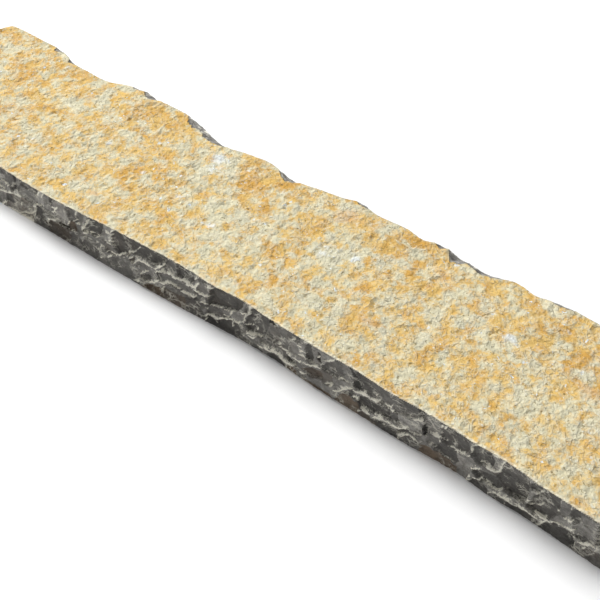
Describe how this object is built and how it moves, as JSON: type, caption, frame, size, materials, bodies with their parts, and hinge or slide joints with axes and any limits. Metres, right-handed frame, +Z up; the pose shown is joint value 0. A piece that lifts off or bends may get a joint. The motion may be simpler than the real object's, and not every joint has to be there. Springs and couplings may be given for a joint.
{
  "type": "limestone edging stone",
  "caption": "Long low slab of limestone with a rough yellow weathered top, broken dark grey sides and a flat underside, for edging a path or bed.",
  "frame": {"origin": "middle of the underside's outline, on the surface the stone lies on", "axes": "+X along the stone, -Y towards its dressed front side, +Z up through the weathered top"},
  "size_m": [1.0074, 0.2186, 0.0543],
  "materials": {
    "limestone": "rough matt natural bed with a yellow ochre and pale grey crust, broken dark grey sides with pale bruised ridges"
  },
  "bodies": {
    "root": {"edging_stone": "limestone"}
  },
  "joints": []
}
